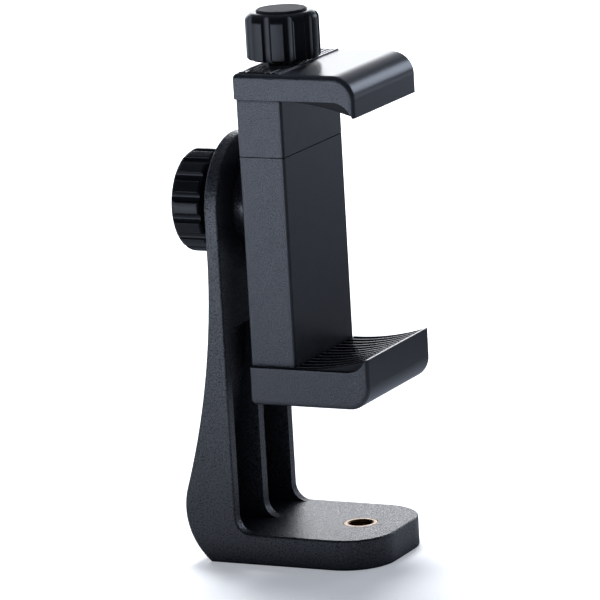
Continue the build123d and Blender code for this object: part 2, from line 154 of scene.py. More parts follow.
# %% Pale paper behind, for gloss
tree = blank(paper)
rays = add(tree, "LightPath")
place = add(tree, "TexCoord")
backdrop_way = (-0.71, 0.7, 0)
pale_from, pale_to = 0.08, 0.45   # metres from the foot toward the backdrop
paper_before, paper_behind = 0.14, 1
behind = add(tree, "VectorMath", {0: place.outputs["Object"], 1: backdrop_way},
             operation="DOT_PRODUCT")
back_light = add(tree, "MapRange", {"Value": behind.outputs["Value"],
                                    "From Min": pale_from, "From Max": pale_to,
                                    "To Min": paper_before, "To Max": paper_behind},
                 interpolation_type="SMOOTHSTEP")
print("gloss sees the paper at", paper_before, "in front and", paper_behind, "behind")

# %% The reflector, for gloss
reflector_way, reflector_edge = (-0.34, -0.94, 0), 0.4   # the edge is a cosine
reflector_reach, reflector_growth, reflector_strength = 0.5, 1.7, 8
glow_reach, foot_glow = 0.32, 0.6                        # the paper round the foot
away = add(tree, "VectorMath", {0: place.outputs["Object"]}, operation="LENGTH")
close = add(tree, "MapRange", {"Value": away.outputs["Value"], "From Min": glow_reach,
                               "From Max": 0, "To Max": foot_glow},
            interpolation_type="SMOOTHSTEP")
toward = add(tree, "VectorMath", {0: place.outputs["Object"]}, operation="NORMALIZE")
side = add(tree, "VectorMath", {0: toward.outputs["Vector"], 1: reflector_way},
           operation="DOT_PRODUCT")
sector = add(tree, "MapRange", {"Value": side.outputs["Value"], "From Min": reflector_edge,
                                "From Max": 1})
reach = add(tree, "MapRange", {"Value": away.outputs["Value"], "From Max": reflector_reach})
growth = add(tree, "Math", {0: reach.outputs["Result"], 1: reflector_growth}, operation="POWER")
bounce = add(tree, "Math", {0: sector.outputs["Result"], 1: growth.outputs["Value"]},
             operation="MULTIPLY")
front = add(tree, "Math", {0: bounce.outputs["Value"], 1: reflector_strength,
                           2: close.outputs["Result"]}, operation="MULTIPLY_ADD")
print("the reflector reaches", reflector_strength, "times white,", reflector_reach, "m away")

# %% The paper's shader
camera_lift = 0.3
brighter = add(tree, "Math", {0: back_light.outputs["Result"], 1: front.outputs["Value"]},
               operation="MAXIMUM")
mirrored = add(tree, "Emission", {"Color": linear("#DCE6FA"),
                                  "Strength": brighter.outputs["Value"]})
lit = add(tree, "BsdfDiffuse", {"Color": linear("#F4F6FA"), "Roughness": 0})
lift = add(tree, "Math", {0: rays.outputs["Is Camera Ray"], 1: camera_lift}, operation="MULTIPLY")
glow = add(tree, "Emission", {"Color": linear("#F7FAFF"), "Strength": lift.outputs["Value"]})
seen = add(tree, "AddShader", {0: lit.outputs["BSDF"], 1: glow.outputs["Emission"]})
gloss = add(tree, "Math", {0: rays.outputs["Is Glossy Ray"],
                           1: rays.outputs["Is Transmission Ray"]}, operation="MAXIMUM")
both = add(tree, "MixShader", {0: gloss.outputs["Value"], 1: seen.outputs["Shader"],
                               2: mirrored.outputs["Emission"]})
add(tree, "OutputMaterial", {"Surface": both.outputs["Shader"]})
print("the camera sees", camera_lift, "added to the lit paper")

# %% The backdrop on the room's wall, for gloss
backdrop_side = (-0.46, 0.89, 0)
side_edge, side_full = 0.6, 0.95   # cosines from the backdrop's middle
top_edge, top_full = 0.5, 0.2      # heights on a ball of 1 m
room_in_gloss, backdrop_in_gloss = 0.08, 1
world = bpy.data.worlds.new("studio_room")
scene.world = world
tree = blank(world)
rays = add(tree, "LightPath")
place = add(tree, "TexCoord")
behind = add(tree, "VectorMath", {0: place.outputs["Generated"], 1: backdrop_side},
             operation="DOT_PRODUCT")
fade = add(tree, "MapRange", {"Value": behind.outputs["Value"], "From Min": side_edge,
                              "From Max": side_full}, interpolation_type="SMOOTHSTEP")
height = add(tree, "SeparateXYZ", {0: place.outputs["Generated"]})
low = add(tree, "MapRange", {"Value": height.outputs["Z"], "From Min": top_edge,
                             "From Max": top_full}, interpolation_type="SMOOTHSTEP")
backdrop = add(tree, "Math", {0: fade.outputs["Result"], 1: low.outputs["Result"]},
               operation="MULTIPLY")
mirrored = add(tree, "MapRange", {"Value": backdrop.outputs["Value"], "To Min": room_in_gloss,
                                  "To Max": backdrop_in_gloss})
print("gloss sees the room at", room_in_gloss, "and its backdrop at", backdrop_in_gloss)

# %% Room
room_light, room_in_picture = 0.2, 1
gloss = add(tree, "Math", {0: rays.outputs["Is Glossy Ray"],
                           1: rays.outputs["Is Transmission Ray"]}, operation="MAXIMUM")
soft = add(tree, "Mix", {0: gloss.outputs["Value"], number_a: room_light,
                         number_b: mirrored.outputs["Result"]})
strength = add(tree, "Mix", {0: rays.outputs["Is Camera Ray"],
                             number_a: soft.outputs[mixed_number], number_b: room_in_picture})
tone = add(tree, "Mix", {0: rays.outputs["Is Camera Ray"], colour_a: linear("#DCE6FA"),
                         colour_b: linear("#FFFFFF")}, data_type="RGBA")
sky = add(tree, "Background", {"Color": tone.outputs[mixed_colour],
                               "Strength": strength.outputs[mixed_number]})
add(tree, "OutputWorld", {"Surface": sky.outputs["Background"]})
print("room light", room_light, "on the object, white behind it")

# %% [markdown]
# ## Lamps
# Four soft boxes, which are area lamps that the camera doesn't see. Two light the colours and
# throw the shadow forward: a strong one high behind and a weaker one on the left. They are hidden
# from gloss, because their mirror images drew white lines along every rounded edge.
# The other two are there for the gloss: a low wide one stands for the bright backdrop and lays a
# pale sheen on every top face, and a small one on the right draws the band on the curved lips.
# A mid grey floor was put in the paper's place to measure the level: it came out at 1.2 times
# its written colour in front of the object and at 1.6 times well behind it.

# %% Soft boxes
def soft_box(name, place, aim_at, width, height, watts, colour="#FFFFFF", mirrored=True):
    """An area lamp at place that faces aim_at. All lengths are metres."""
    lamp = bpy.data.lights.new(name, "AREA")
    lamp.shape, lamp.size, lamp.size_y = "RECTANGLE", width, height
    lamp.energy = watts
    lamp.color = linear(colour)[:3]
    box = bpy.data.objects.new(name, lamp)
    scene.collection.objects.link(box)
    box.location = place
    box.rotation_euler = (Vector(place) - Vector(aim_at)).to_track_quat("Z", "Y").to_euler()
    box.visible_camera = False
    box.visible_glossy = mirrored
    print(name, width, "x", height, "m,", watts, "W")


soft_box("top_box", place=(-0.33, 0.6, 1.25), aim_at=(0, 0, 0.05), width=0.55, height=0.45,
         watts=21, mirrored=False)
soft_box("left_box", place=(-0.8, 0.58, 0.7), aim_at=(0, 0, 0.05), width=0.5, height=0.5,
         watts=5, mirrored=False)
soft_box("backdrop_box", place=(-0.58, 1.12, 0.3), aim_at=(0, 0, 0.08), width=1.0, height=0.44,
         watts=4.4)
soft_box("lip_band_box", place=(0.4, 1.08, 0.36), aim_at=(0, 0, 0.1), width=0.4, height=0.35,
         watts=1.9, colour="#DCE6FA")

# %% [markdown]
# ## Spark-eroded ABS
# The bracket and the clamp are moulded in black ABS. Their mould was roughened by spark erosion,
# which leaves the plastic with a fine pebbled skin that spreads highlights and looks grey where it
# faces a light. Only the clamp's sides have the skin: its front and its jaws' tops are satin.
# The pebbles could be real geometry, but at a fifth of a millimetre a bump does the same for
# nothing. Noise at two sizes keeps it from looking like a regular pattern.
# Where two mouldings meet, the skin mirrors nothing, so ambient occlusion turns its gloss down
# there: a painted shade in the crevice. That keeps the thin dark line which shows that these are
# separate pieces.

# %% Pebbles
noise_low, noise_high = 0.3, 0.7       # a noise's values lie mostly between these
patch_scale, patch_tint = 0.12, 1.18   # broad patches are 8 pebbles wide, and lighter by this


def pebbled(tree, place, pebble, colour):
    """The skin's fine and broad noise, and its colour, which follows the broad one."""
    fine = add(tree, "TexNoise", {"Vector": place.outputs["Object"],
                                  "Scale": 1 / (pebble * MM), "Detail": 2})
    broad = add(tree, "TexNoise", {"Vector": place.outputs["Object"],
                                   "Scale": patch_scale / (pebble * MM), "Detail": 3})
    tint = add(tree, "MapRange", {"Value": broad.outputs[0], "From Min": noise_low,
                                  "From Max": noise_high})
    lighter = [c * patch_tint for c in linear(colour)[:3]] + [1]
    base = add(tree, "Mix", {0: tint.outputs["Result"], colour_a: linear(colour),
                             colour_b: lighter}, data_type="RGBA")
    return fine.outputs[0], broad.outputs[0], base.outputs[mixed_colour]


print("a patch of the skin is", round(1 / patch_scale), "pebbles wide")

# %% Sides and crevices
side_starts, side_whole = 0.86, 0.99   # how far a face looks sideways, 1 for straight sideways
shut_in, in_the_open = 0.52, 0.9       # ambient occlusion where the gloss is gone and whole


def by_side(tree, place, starts, whole, before, after):
    """A value that goes from one number to another as a face turns to look sideways."""
    facing = add(tree, "SeparateXYZ", {0: place.outputs["Normal"]})
    sideways = add(tree, "Math", {0: facing.outputs["Y"]}, operation="ABSOLUTE")
    value = add(tree, "MapRange", {"Value": sideways.outputs[0], "From Min": starts,
                                   "From Max": whole, "To Min": before, "To Max": after})
    return value.outputs["Result"]


def painted_crevice_shade(tree, level, reach):
    """A gloss turned down by painted shade in crevices, which are looked for within reach, in
    millimetres.
    """
    shade = add(tree, "AmbientOcclusion", {"Distance": reach * MM}, samples=6)
    light = add(tree, "MapRange", {"Value": shade.outputs["AO"], "From Min": shut_in,
                                   "From Max": in_the_open})
    return add(tree, "Math", {0: level, 1: light.outputs["Result"]},
               operation="MULTIPLY").outputs[0]


print("the skin is whole within", round(acos(side_whole) / radians(1)), "degrees of sideways")

# %% ABS
abs_ior = 1.53
patch_spread, pebble_spread = 0.03, 0.14   # how far each moves the roughness, up and down
# painted shade and glint: a pebble's gloss follows its bump's height, lower in the hollows and
# higher on the crests
glint_low, glint_high = 0.35, 0.65         # the noise of the dullest and the brightest pebble
skin_left = 0.12                           # the share of the pebbles left on a satin face


def moulded_abs(name, colour, roughness, pebble, depth, sides_only=False, satin=0.3, shine=0.5,
                pebble_shade=0, crevice=1.3):
    """Black ABS with a pebbled skin. pebble, depth and crevice are millimetres, satin is the
    roughness off the sides, shine the gloss, and speckle how far a pebble's gloss follows its
    height, a painted shade in its hollows and a painted glint on its crests."""
    material = bpy.data.materials.new(name)
    tree = blank(material)
    place = add(tree, "TexCoord")
    fine, broad, base = pebbled(tree, place, pebble, colour)
    grain, spread = (fine, pebble_spread) if pebble_shade else (broad, patch_spread)
    strength, level = 1, shine
    rough = add(tree, "MapRange", {"Value": grain, "From Min": noise_low, "From Max": noise_high,
                                   "To Min": roughness - spread,
                                   "To Max": roughness + spread}).outputs["Result"]
    # Painted shade and glint: the gloss rises and falls with the pebbles' bump height.
    if pebble_shade:
        level = add(tree, "MapRange", {"Value": fine, "From Min": glint_low,
                                       "From Max": glint_high, "To Min": (1 - pebble_shade) * shine,
                                       "To Max": (1 + pebble_shade) * shine}).outputs["Result"]
    if sides_only:
        strength = by_side(tree, place, side_starts, side_whole, skin_left, 1)
        rough = add(tree, "MapRange", {"Value": strength, "From Min": skin_left,
                                       "To Min": satin, "To Max": rough}).outputs["Result"]
        level = add(tree, "Mix", {0: strength, number_a: shine,
                                  number_b: level}).outputs[mixed_number]
    # Painted shade: ambient occlusion turns the gloss down in crevices.
    if pebble_shade:
        level = painted_crevice_shade(tree, level, crevice)
    bump = add(tree, "Bump", {"Height": fine, "Distance": depth * MM, "Strength": strength})
    surface = add(tree, "BsdfPrincipled", {"Base Color": base, "Roughness": rough,
                                           "IOR": abs_ior, "Specular IOR Level": level,
                                           "Normal": bump.outputs["Normal"]})
    add(tree, "OutputMaterial", {"Surface": surface.outputs["BSDF"]})
    return material


print("ABS has an IOR of", abs_ior)

# %% [markdown]
# ## Five finishes of one plastic
# The real pebbles are about 0.2 mm. They are drawn at 0.34 mm on the clamp and 0.4 mm on the
# bracket, because a pixel of the picture covers 0.23 mm. The matt cap's grain is drawn at 0.5 mm
# and the satin pieces' faint ripple at 0.25 and 0.3 mm for the same reason.
# The bracket's painted crevice shade reaches 8 mm, across the gap behind the clamp and to the
# foot's root, which are dark in the photograph. The clamp's reaches 1.3 mm, enough to darken its
# parting line.
# A gloss of 0.5 is that of bare ABS. The knobs' and the cap's are set lower, to keep them as dark
# as the photograph shows them, and the back cover's polished boss is set a little higher.

# %% ABS finishes
bracket_abs = moulded_abs("spark_eroded_black_abs", "#212429", roughness=0.35, pebble=0.4,
                          depth=0.17, pebble_shade=0.5, crevice=8)
clamp_abs = moulded_abs("satin_black_abs_with_eroded_sides", "#23262C", roughness=0.43,
                        pebble=0.34, depth=0.1, sides_only=True, satin=0.28, pebble_shade=0.4)
knob_abs = moulded_abs("satin_black_abs_knob", "#16181C", roughness=0.24, pebble=0.25,
                       depth=0.01, shine=0.13)
cover_abs = moulded_abs("satin_black_abs_cover", "#1B1D22", roughness=0.26, pebble=0.3,
                        depth=0.02, shine=0.75)
cap_abs = moulded_abs("matt_black_abs_cap", "#1B1D22", roughness=0.56, pebble=0.5, depth=0.3,
                      shine=0.24)
print("ABS finishes:", [m.name for m in (bracket_abs, clamp_abs, knob_abs, cover_abs, cap_abs)])

# %% [markdown]
# ## Rubber
# The jaws' pads and the dotted strip are a soft moulded thermoplastic rubber. It is blacker than
# the plastic, with a soft highlight on the crests of its ribs and a faint sheen where it is seen
# edge-on, from the bloom that rubber grows. A cloudy noise breaks the highlight, and the strip's
# domes come from a smoother mould, so their highlights are smaller.
# The pads' side ends, set back under the jaws, look blacker than their ribs, so the gloss is turned
# down where a face looks sideways: a painted shade.

# %% Rubber material
rubber_ior = 1.5
bloom_size, bloom_depth, bloom_spread = 0.5, 0.01, 0.08   # mm, mm and roughness
end_starts, end_whole = 0.85, 0.98                        # how far a face looks sideways
# painted shade: the side ends' gloss is turned nearly off
rib_gloss, shaded_end_gloss = 0.6, 0.06
sheen, sheen_roughness = 0.08, 0.4


def moulded_rubber(name, colour, bloomed, roughness):
    """Black rubber, clouded with a little bloom, with painted shade on its side ends, where its
    gloss is turned down.
    """
    material = bpy.data.materials.new(name)
    tree = blank(material)
    place = add(tree, "TexCoord")
    bloom = add(tree, "TexNoise", {"Vector": place.outputs["Object"],
                                   "Scale": 1 / (bloom_size * MM), "Detail": 3})
    tint = add(tree, "Mix", {0: bloom.outputs[0], colour_a: linear(colour),
                             colour_b: linear(bloomed)}, data_type="RGBA")
    dull = add(tree, "MapRange", {"Value": bloom.outputs[0], "To Min": roughness - bloom_spread,
                                  "To Max": roughness + bloom_spread})
    skin = add(tree, "Bump", {"Height": bloom.outputs[0], "Distance": bloom_depth * MM,
                              "Strength": 1})
    level = by_side(tree, place, end_starts, end_whole, rib_gloss, shaded_end_gloss)
    surface = add(tree, "BsdfPrincipled", {"Base Color": tint.outputs[mixed_colour],
                                           "Roughness": dull.outputs["Result"],
                                           "IOR": rubber_ior, "Specular IOR Level": level,
                                           "Sheen Weight": sheen,
                                           "Sheen Roughness": sheen_roughness,
                                           "Normal": skin.outputs["Normal"]})
    add(tree, "OutputMaterial", {"Surface": surface.outputs["BSDF"]})
    return material


rubber = moulded_rubber("dull_thermoplastic_rubber", "#121316", "#1C1D21", roughness=0.3)
dotted_rubber = moulded_rubber("polished_thermoplastic_rubber", "#0E0F12", "#15161A",
                               roughness=0.2)
print("rubbers:", rubber.name, "and", dotted_rubber.name)

# %% [markdown]
# ## Metals
# The insert in the foot is turned brass, gone slightly brown. The screws, the bolt and their
# washers are steel with a thin bright zinc plate. Turning and rolling leave fine lines round the
# axis, so a noise that is drawn out level, round the upright axis, drives the roughness.
# Metals keep the default IOR: their colour comes from the base colour alone.

# %% Metal materials
line_stretch = (0.15, 0.15, 1)      # lines about 7 times longer than they are apart
stain_size, line_depth = 1.6, 0.006 # mm
shinier, duller = 0.06, 0.08        # how far the lines move the roughness, down and up


def turned_metal(name, colour, stained, roughness, line_spacing):
    """A metal with fine tool lines. line_spacing is millimetres, across the lines."""
    material = bpy.data.materials.new(name)
    tree = blank(material)
    place = add(tree, "TexCoord")
    stretched = add(tree, "Mapping", {"Vector": place.outputs["Object"], "Scale": line_stretch})
    lines = add(tree, "TexNoise", {"Vector": stretched.outputs[0],
                                   "Scale": 1 / (line_spacing * MM), "Detail": 2})
    stain = add(tree, "TexNoise", {"Vector": place.outputs["Object"],
                                   "Scale": 1 / (stain_size * MM), "Detail": 3})
    tint = add(tree, "Mix", {0: stain.outputs[0], colour_a: linear(colour),
                             colour_b: linear(stained)}, data_type="RGBA")
    rough = add(tree, "MapRange", {"Value": lines.outputs[0], "From Min": noise_low,
                                   "From Max": noise_high, "To Min": roughness - shinier,
                                   "To Max": roughness + duller})
    bump = add(tree, "Bump", {"Height": lines.outputs[0], "Distance": line_depth * MM,
                              "Strength": 1})
    surface = add(tree, "BsdfPrincipled", {"Base Color": tint.outputs[mixed_colour],
                                           "Metallic": 1, "Roughness": rough.outputs["Result"],
                                           "Normal": bump.outputs["Normal"]})
    add(tree, "OutputMaterial", {"Surface": surface.outputs["BSDF"]})
    return material


brass = turned_metal("turned_brass", "#8E6E48", "#5A4229", roughness=0.3, line_spacing=0.12)
zinc = turned_metal("bright_zinc_plated_steel", "#C3C8CE", "#A9AEB6", roughness=0.3,
                    line_spacing=0.1)
print("metals:", brass.name, "and", zinc.name)

# %% [markdown]
# ## Nylon
# The washer under the width knob is natural nylon, so that the knob turns smoothly on it. Nylon is
# milky: light enters it and scatters, which a little subsurface gives.

# %% Nylon material
nylon_ior, cloud_size = 1.53, 1.2        # the size is mm
waxy_least, waxy_most = 0.36, 0.46
milkiness, scatter_depth = 0.2, 0.4      # the depth is mm
nylon = bpy.data.materials.new("natural_moulded_nylon")
tree = blank(nylon)
place = add(tree, "TexCoord")
cloud = add(tree, "TexNoise", {"Vector": place.outputs["Object"],
                               "Scale": 1 / (cloud_size * MM), "Detail": 2})
tint = add(tree, "Mix", {0: cloud.outputs[0], colour_a: linear("#DEDCD2"),
                         colour_b: linear("#E9E8E1")}, data_type="RGBA")
waxy = add(tree, "MapRange", {"Value": cloud.outputs[0], "To Min": waxy_least,
                              "To Max": waxy_most})
surface = add(tree, "BsdfPrincipled", {"Base Color": tint.outputs[mixed_colour],
                                       "Roughness": waxy.outputs["Result"], "IOR": nylon_ior,
                                       "Subsurface Weight": milkiness,
                                       "Subsurface Scale": scatter_depth * MM})
add(tree, "OutputMaterial", {"Surface": surface.outputs["BSDF"]})
print("nylon", nylon.name)

# %% [markdown]
# ## Finishes on the CAD pieces
# A CAD piece whose shape is right keeps its mesh and only changes its material. Writing the list
# by finish keeps pieces of one moulding alike.

# %% Give each CAD piece its finish
finishes = {
    bracket_abs: ["bracket"],
    cover_abs: ["clamp_back_cover"],
    clamp_abs: ["clamp_body", "upper_jaw"],
    knob_abs: ["rotation_knob_grip", "width_knob_grip"],
    cap_abs: ["rotation_knob_cap", "width_knob_cap"],
    rubber: ["pivot_friction_washer", "lower_jaw_pad", "upper_jaw_pad", "top_grip_strip"],
    brass: ["tripod_insert", "pivot_insert", "drive_nut", "screw_bush"],
    zinc: ["rotation_bolt", "rotation_knob_washer", "back_cover_screws", "lead_screw",
           "screw_retaining_clip", "screw_end_stop"],
    nylon: ["screw_thrust_washer"],
}
for material, names in finishes.items():
    for name in names:
        mesh = nodes[name].data
        mesh.materials.clear()
        mesh.materials.append(material)
print(sum(len(names) for names in finishes.values()), "of", len(nodes), "CAD pieces have a finish")

# %% [markdown]
# ## Making a piece from rings
# Threads, pads and screws are long rows of the same section, so each is given as a list of rings:
# closed loops with the same number of points. Joining ring to ring with four-sided faces makes a
# clean closed mesh. Edges sharper than about 35 degrees stay crisp, and the rest is smoothed.

# %% Smooth and close a mesh
crisp_angle = radians(35)


def sharpen(mesh):
    """Smooths a mesh apart from its crisp edges."""
    work = bmesh.new()
    work.from_mesh(mesh)
    bmesh.ops.recalc_face_normals(work, faces=work.faces)
    for face in work.faces:
        face.smooth = True
    for edge in work.edges:
        edge.smooth = len(edge.link_faces) == 2 and edge.calc_face_angle() < crisp_angle
    work.to_mesh(mesh)
    work.free()


def draw_down(mesh, z):
    """Closes an open sheet: its edge is drawn down to height z and filled."""
    work = bmesh.new()
    work.from_mesh(mesh)
    rim = [e for e in work.edges if e.is_boundary]
    grown = bmesh.ops.extrude_edge_only(work, edges=rim)["geom"]
    for vertex in grown:
        if isinstance(vertex, bmesh.types.BMVert):
            vertex.co.z = z
    bmesh.ops.contextual_create(work, geom=[e for e in work.edges if e.is_boundary])
    work.to_mesh(mesh)
    work.free()


print("edges over", round(crisp_angle / radians(1)), "degrees stay crisp")

# %% Rings to a piece
def as_piece(name, points, faces, material, body, replaced, skirt=None):
    """A mesh object from points in millimetres, riding on a body in place of a CAD piece."""
    mesh = bpy.data.meshes.new(name)
    mesh.from_pydata([[c * MM for c in point] for point in points], [], faces)
    if skirt is not None:
        draw_down(mesh, skirt * MM)
    sharpen(mesh)
    mesh.materials.append(material)
    piece = bpy.data.objects.new(name, mesh)
    scene.collection.objects.link(piece)
    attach(piece, body)
    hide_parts(*replaced)
    print(name, len(mesh.polygons), "faces")
    return piece


def ring_faces(count, around, joined=False, start=0):
    """Faces between count rings of the same size. joined closes the last ring onto the first,
    otherwise both end rings are filled."""
    faces = []
    for n in range(count if joined else count - 1):
        low, high = start + n * around, start + (n + 1) % count * around
        faces += [(low + k, low + (k + 1) % around, high + (k + 1) % around, high + k)
                  for k in range(around)]
    if not joined:
        faces.append([start + k for k in reversed(range(around))])
        faces.append([start + (count - 1) * around + k for k in range(around)])
    return faces


print("a tube of 3 rings of 8 points has", len(ring_faces(3, 8)), "faces with its ends")

# %% [markdown]
# ## Threads
# A screw thread is a ridge wound round a cylinder: at any height the surface is further out on
# one side than on the other. So each ring's radius follows the thread's wave, shifted by one pitch
# for each turn. The wave has small flats at its top and bottom, as cut threads have.

# %% Thread wave
root_flat, flank = 0.12, 0.7   # shares of half a pitch; the crest's flat is what they leave


def thread_wave(turn_share, height, pitch):
    """0 in the thread's root and 1 on its crest, at a share of a turn and a height."""
    phase = (height / pitch - turn_share) % 1
    return min(max((1 - abs(2 * phase - 1) - root_flat) / flank, 0), 1)


def round_ring(radius_at, z, around, x=0):
    """A level ring whose radius is a function of its share of a turn."""
    shares = [k / around for k in range(around)]
    return [(x + radius_at(s) * cos(2 * pi * s), radius_at(s) * sin(2 * pi * s), z)
            for s in shares]


print("wave over a pitch:", [round(thread_wave(0, z / 8, 1), 2) for z in range(9)])

# %% [markdown]
# ## The brass tripod insert
# A brass bush is pressed into the foot and takes the tripod's quarter-inch screw, 20 threads to
# the inch. Its mouth is chamfered through the first thread. Seen from above it is a thin brass ring
# round dark threads.

# %% Tripod insert
insert_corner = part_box("tripod_insert")[1] / MM
insert_top, insert_outer = insert_corner.z, insert_corner.x
thread_minor, thread_major, inch_pitch = 2.6, 3.1, 25.4 / 20
mouth_chamfer, rim_chamfer = 0.45, 0.12
around, rows = 64, 84


def insert_bore(z):
    """The bore's radius round the ring at height z: thread, or the mouth's chamfer where wider."""
    mouth = thread_minor + max(0, z - (insert_top - mouth_chamfer))
    deep = thread_major - thread_minor
    return lambda share: max(thread_minor + deep * thread_wave(share, z, inch_pitch), mouth)


rings = [round_ring(lambda s: insert_outer, 0, around)]
rings.append(round_ring(lambda s: insert_outer, insert_top - rim_chamfer, around))
rings.append(round_ring(lambda s: insert_outer - rim_chamfer, insert_top, around))
heights = [insert_top * (1 - n / rows) for n in range(rows + 1)]
rings += [round_ring(insert_bore(z), z, around) for z in heights]
as_piece("tripod_insert_threaded", [p for ring in rings for p in ring],
         ring_faces(len(rings), around, joined=True), brass, "bracket", ["tripod_insert"])

# %% [markdown]
# ## The lead screw
# The width knob turns a long 5 mm screw of 0.8 mm pitch. It shows between the clamp's body and the
# upper jaw once the jaw is wound up. Its neck, where the bush and the clip hold it, has no thread,
# and a hexagon head sits in the knob.

# %% Lead screw's sizes
screw_low, screw_high = (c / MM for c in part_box("lead_screw"))
screw_x = (screw_low.x + screw_high.x) / 2
clip_low, clip_high = (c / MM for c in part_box("screw_retaining_clip"))
crest, root, screw_pitch = 2.48, 2.05, 0.8
head_height, head_half_flats, head_chamfer = 3.5, 4.0, 0.3
groove_radius, groove_play = 2.2, 0.05
neck_below_clip, neck_step = 1.2, 0.4   # the plain neck under the clip, and the step up to it
tail_taper, neck_taper = 0.6, 0.8       # lengths over which the thread fades at its two ends
tail_share = 0.3                        # of the thread's depth left at the tail's tip
neck_foot = clip_low.z - neck_below_clip
around, rows_per_pitch = 30, 10
print("thread from", round(screw_low.z, 2), "to", round(neck_foot, 2), "mm")

# %% Lead screw
def hexagon_radius(share):
    """Distance to the side of the hexagon head, with corners on the X axis and each 60 degrees."""
    return head_half_flats / cos(radians(share * 360 % 60 - 30))


def screw_row(z):
    """The thread's ring at height z, tapering into the tail's chamfer and into the neck."""
    taper = min(1, (z - screw_low.z) / tail_taper + tail_share, (neck_foot - z) / neck_taper)
    depth = (crest - root) * max(taper, 0)
    return round_ring(lambda s: root + depth * thread_wave(s, z, screw_pitch), z, around, screw_x)


rows = int((neck_foot - screw_low.z) / (screw_pitch / rows_per_pitch))
rings = [screw_row(screw_low.z + (neck_foot - screw_low.z) * n / rows) for n in range(rows + 1)]
head_foot = screw_high.z - head_height
groove_foot, groove_head = clip_low.z - groove_play, clip_high.z + groove_play
for radius, z in ((crest, neck_foot + neck_step), (crest, groove_foot),
                  (groove_radius, groove_foot), (groove_radius, groove_head),
                  (crest, groove_head), (crest, head_foot)):
    rings.append(round_ring(lambda s, r=radius: r, z, around, screw_x))
for inset, z in ((0, head_foot), (0, screw_high.z - head_chamfer), (head_chamfer, screw_high.z)):
    rings.append(round_ring(lambda s, i=inset: hexagon_radius(s) - i, z, around, screw_x))
as_piece("lead_screw_threaded", [p for ring in rings for p in ring], ring_faces(len(rings), around),
         zinc, "width_knob", ["lead_screw"])

# %% [markdown]
# ## The ribbed pads
# A rubber pad lies in each jaw, hollowed along its length to hold a rounded phone, with twelve
# ribs that run from the phone out to the lip. Moulded ribs have rounded crests, and those crests
# catch the thin light lines that the eye reads as ribs.
# Each ring is one upright slice through the pad, and the slices are set closer on the ribs.

# %% Pad slices
pad_gap, pad_heel = 0.05, 0.4
pad_foot_depth, pad_foot_inset = 1.2, 1.2
lip_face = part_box("clamp_body")[1].x / MM
phone_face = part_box("lower_jaw_pad")[0].x / MM - pad_gap
lip_tip, lip_radius, hollow_radius = 0.5, 5.0, 58.0


def pad_slice(lip, drop, y, surface_steps=18, bend_steps=6):
    """One slice of a pad over a jaw floor at 0: the hollow, the bend into the lip, the foot."""
    bend_x = lip_face - lip_tip - sqrt(lip_radius**2 - (lip_radius - lip) ** 2)
    inner = lip_radius - pad_gap
    start = Vector((phone_face + pad_gap, pad_heel - drop))
    end_z = lip - pad_gap - drop
    end = Vector((bend_x + sqrt(inner**2 - (lip_radius - end_z) ** 2), end_z))
    chord = end - start
    reach = sqrt(hollow_radius**2 - (chord.length / 2) ** 2)
    centre = (start + end) / 2 + Vector((-chord.y, chord.x)).normalized() * reach
    first = atan2(start.y - centre.y, start.x - centre.x)
    last = atan2(end.y - centre.y, end.x - centre.x)
    outline = []
    for n in range(surface_steps + 1):
        angle = first + (last - first) * n / surface_steps
        outline.append((centre.x + hollow_radius * cos(angle),
                        centre.y + hollow_radius * sin(angle)))
    half = atan2(end.x - bend_x, lip_radius - end.y)
    for n in range(1, bend_steps + 1):
        angle = half * (1 - n / bend_steps)
        outline.append((bend_x + inner * sin(angle), lip_radius - inner * cos(angle)))
    foot = bend_x - pad_foot_inset
    outline += [(foot, pad_gap), (foot, -pad_foot_depth), (start.x, -pad_foot_depth)]
    return [(x, y, z) for x, z in outline]


print("a pad slice under a 3 mm lip has", len(pad_slice(3, 0, 0)), "points")

# %% Pads
rib_count, rib_height, rib_half = 12, 0.45, 0.45
# slices over one rib: their place in half widths, and their drop in heights below the crest
rib_section = ((-1.0, 1.0), (-0.94, 0.55), (-0.72, 0.16), (-0.36, 0.02), (0, 0),
               (0.36, 0.02), (0.72, 0.16), (0.94, 0.55), (1.0, 1.0))


def ribbed_pad(name, node, body, hangs=False):
    """A ribbed pad in place of a plain CAD pad. It takes its sizes from the CAD pad's box."""
    low, high = (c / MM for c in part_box(node))
    lip = high.z - low.z - pad_foot_depth + pad_gap
    pitch = 2 * (high.y - rib_half) / (rib_count - 1)
    rings = []
    for n in range(rib_count):
        for side, share in rib_section:
            y = low.y + rib_half + n * pitch + side * rib_half
            rings.append(pad_slice(lip, share * rib_height, y))
    foot, way = (high.z, -1) if hangs else (low.z, 1)
    points = [(x, y, foot + way * (z + pad_foot_depth)) for ring in rings for x, y, z in ring]
    as_piece(name, points, ring_faces(len(rings), len(rings[0])), rubber, body,
             [node])


ribbed_pad("lower_pad_ribbed", "lower_jaw_pad", "clamp")
ribbed_pad("upper_pad_ribbed", "upper_jaw_pad", "upper_jaw", hangs=True)

# %% [markdown]
# ## The dotted grip strip
# A rubber strip lies across the top of the upper jaw. It is covered in small square domes 1.3 mm
# apart, with a plain rim along its front. Each dome is four rings of four faces and a flat top on
# its own square cell, so the strip is one closed skin with no separate dots to fall off.
# The sheet's open edge is drawn down into sides, and the hole for the screw is cut last with a
# Boolean, which trims the cells cleanly.

